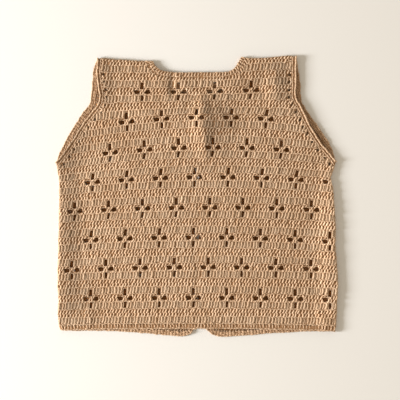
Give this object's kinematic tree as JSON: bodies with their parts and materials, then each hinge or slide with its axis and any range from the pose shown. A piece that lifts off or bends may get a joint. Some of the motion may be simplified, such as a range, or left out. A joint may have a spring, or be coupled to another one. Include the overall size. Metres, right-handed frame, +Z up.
{
  "type": "crochet vest laid flat",
  "caption": "Open-front sleeveless crochet vest laid flat with its back up, openwork flowers cut through, edgings at neck, armholes and hem.",
  "frame": {"origin": "on the surface that the vest lies on, under the middle of its bounding box", "axes": "+X towards the wearer's right side, +Y from the hem to the neck, +Z up from the surface"},
  "size_m": [0.497, 0.494, 0.0077],
  "materials": {
    "yarn": "matt camel cotton yarn, crocheted"
  },
  "bodies": {
    "root": {"back": "yarn", "front_left": "yarn", "front_right": "yarn", "armhole_edging_left": "yarn", "armhole_edging_right": "yarn", "neck_edging": "yarn", "hem_edging": "yarn"}
  },
  "joints": []
}
